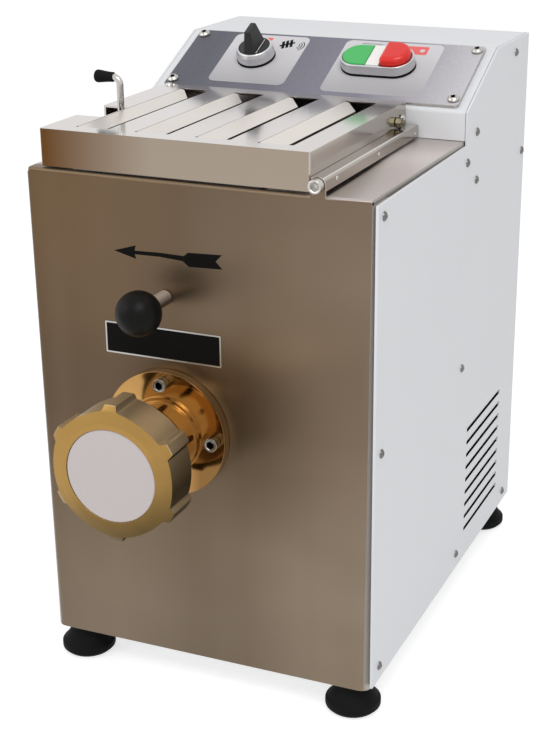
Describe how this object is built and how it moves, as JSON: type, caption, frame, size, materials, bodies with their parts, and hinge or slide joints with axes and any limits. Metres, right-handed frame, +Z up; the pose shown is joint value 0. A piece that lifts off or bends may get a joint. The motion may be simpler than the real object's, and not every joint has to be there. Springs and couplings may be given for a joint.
{
  "type": "electric pasta maker",
  "caption": "Table-top electric pasta maker with a lidded mixing tub, a barrel with a ring nut on its front, a shutter lever and a sloping control plate.",
  "frame": {"origin": "centre of the footprint at the soles of the feet", "axes": "+X to the right seen from the front, +Y towards the back with the barrel pointing to -Y, +Z up"},
  "size_m": [0.26, 0.4594, 0.4536],
  "materials": {
    "white_paint": "semi-gloss powder coat",
    "stainless": "fine brushed",
    "bright_steel": "polished",
    "bronze": "turned and polished bronze",
    "brass": "satin",
    "black_plastic": "smooth",
    "black_rubber": "matte",
    "white_plastic": "satin",
    "cast_aluminium": "cast",
    "control_face": "printed overlay",
    "gear_steel": "oiled",
    "green_plastic": "gloss",
    "red_plastic": "gloss"
  },
  "bodies": {
    "root": {"base_plate": "white_paint", "front_cover": "stainless", "left_side_panel": "white_paint", "right_side_panel": "white_paint", "tower_cover": "white_paint", "rear_panel": "white_paint", "foot_front_left": "black_rubber", "foot_front_right": "black_rubber", "foot_rear_left": "black_rubber", "foot_rear_right": "black_rubber", "tub": "bright_steel", "barrel": "bronze", "flange_screw_1": "bright_steel", "flange_screw_2": "bright_steel", "flange_screw_3": "bright_steel", "flange_screw_4": "bright_steel", "gearbox_front_plate": "cast_aluminium", "gearbox_rear_plate": "cast_aluminium", "auger_bush": "bronze", "paddle_bush": "bronze", "pin_bush": "bright_steel", "hinge_bolt_front": "bright_steel", "hinge_pin_rear": "bright_steel", "control_plate": "control_face", "plate_screw_1": "bright_steel", "plate_screw_2": "bright_steel", "plate_screw_3": "bright_steel", "plate_screw_4": "bright_steel", "selector_gasket": "black_rubber", "selector_bezel": "bright_steel", "selector_contact_block": "black_plastic", "button_gasket": "black_rubber", "button_bezel": "bright_steel", "pilot_lens": "white_plastic", "button_contact_block": "black_plastic", "motor_body": "cast_aluminium", "motor_capacitor": "black_plastic", "cable_gland": "black_plastic", "lid_switch": "black_plastic"},
    "lid_body": {"lid": "stainless", "hinge_strip": "stainless", "skirt_screw": "bright_steel", "skirt_nut": "gear_steel"},
    "shutter": {"shutter_plate": "bright_steel", "lever_rod": "bright_steel", "lever_grip": "black_rubber"},
    "pulling_pin": {"pin_rod": "bright_steel", "ball_knob": "black_plastic"},
    "auger_body": {"auger": "bright_steel", "auger_gear": "gear_steel"},
    "paddle_body": {"paddle": "bright_steel", "paddle_gear": "gear_steel"},
    "motor_rotor": {"motor_pinion": "gear_steel"},
    "plug_body": {"die_plug": "white_plastic"},
    "nut_body": {"ring_nut": "brass"},
    "selector_body": {"selector_knob": "black_plastic"},
    "start_body": {"start_button": "green_plastic"},
    "stop_body": {"stop_button": "red_plastic"}
  },
  "joints": [
    {"name": "lid_hinge", "type": "hinge", "parent": "root", "child": "lid_body", "pos_m": [0.08919, -0.05, 0.3886], "axis": [0, 1, 0], "range_deg": [0, 95]},
    {"name": "shutter_slide", "type": "slide", "parent": "root", "child": "shutter", "axis": [0, -1, 0], "range_m": [0, 0.028]},
    {"name": "pin_pull", "type": "slide", "parent": "root", "child": "pulling_pin", "axis": [0, -1, 0], "range_m": [0, 0.024]},
    {"name": "auger_spin", "type": "hinge", "parent": "root", "child": "auger_body", "pos_m": [-0.0225, 0, 0.2028], "axis": [0, 1, 0], "continuous": true},
    {"name": "paddle_spin", "type": "hinge", "parent": "root", "child": "paddle_body", "pos_m": [-0.0225, 0, 0.30044], "axis": [0, 1, 0], "continuous": true},
    {"name": "motor_spin", "type": "hinge", "parent": "root", "child": "motor_rotor", "pos_m": [0.03492, 0, 0.16259], "axis": [0, 1, 0], "continuous": true},
    {"name": "plug_slide", "type": "slide", "parent": "root", "child": "plug_body", "axis": [0, -1, 0], "range_m": [0, 0.0091]},
    {"name": "nut_turn", "type": "hinge", "parent": "plug_body", "child": "nut_body", "pos_m": [-0.0225, -0.215, 0.2028], "axis": [0, -1, 0], "range_deg": [0, 1080]},
    {"name": "selector_turn", "type": "hinge", "parent": "root", "child": "selector_body", "pos_m": [-0.05799, 0.08823, 0.42339], "axis": [0, -0.4232, 0.906], "range_deg": [-45, 45]},
    {"name": "start_press", "type": "slide", "parent": "root", "child": "start_body", "axis": [0, 0.4232, -0.906], "range_m": [0, 0.0035], "stiffness_N_per_m": 400, "springref_m": -0.002},
    {"name": "stop_press", "type": "slide", "parent": "root", "child": "stop_body", "axis": [0, 0.4232, -0.906], "range_m": [0, 0.0035], "stiffness_N_per_m": 400, "springref_m": -0.002}
  ],
  "couplings": [
    {"joint": "paddle_spin", "follows": "auger_spin", "ratio": -1.2941},
    {"joint": "motor_spin", "follows": "auger_spin", "ratio": -3.6667},
    {"joint": "plug_slide", "follows": "nut_turn", "m_per_rad": 0.00047746}
  ]
}
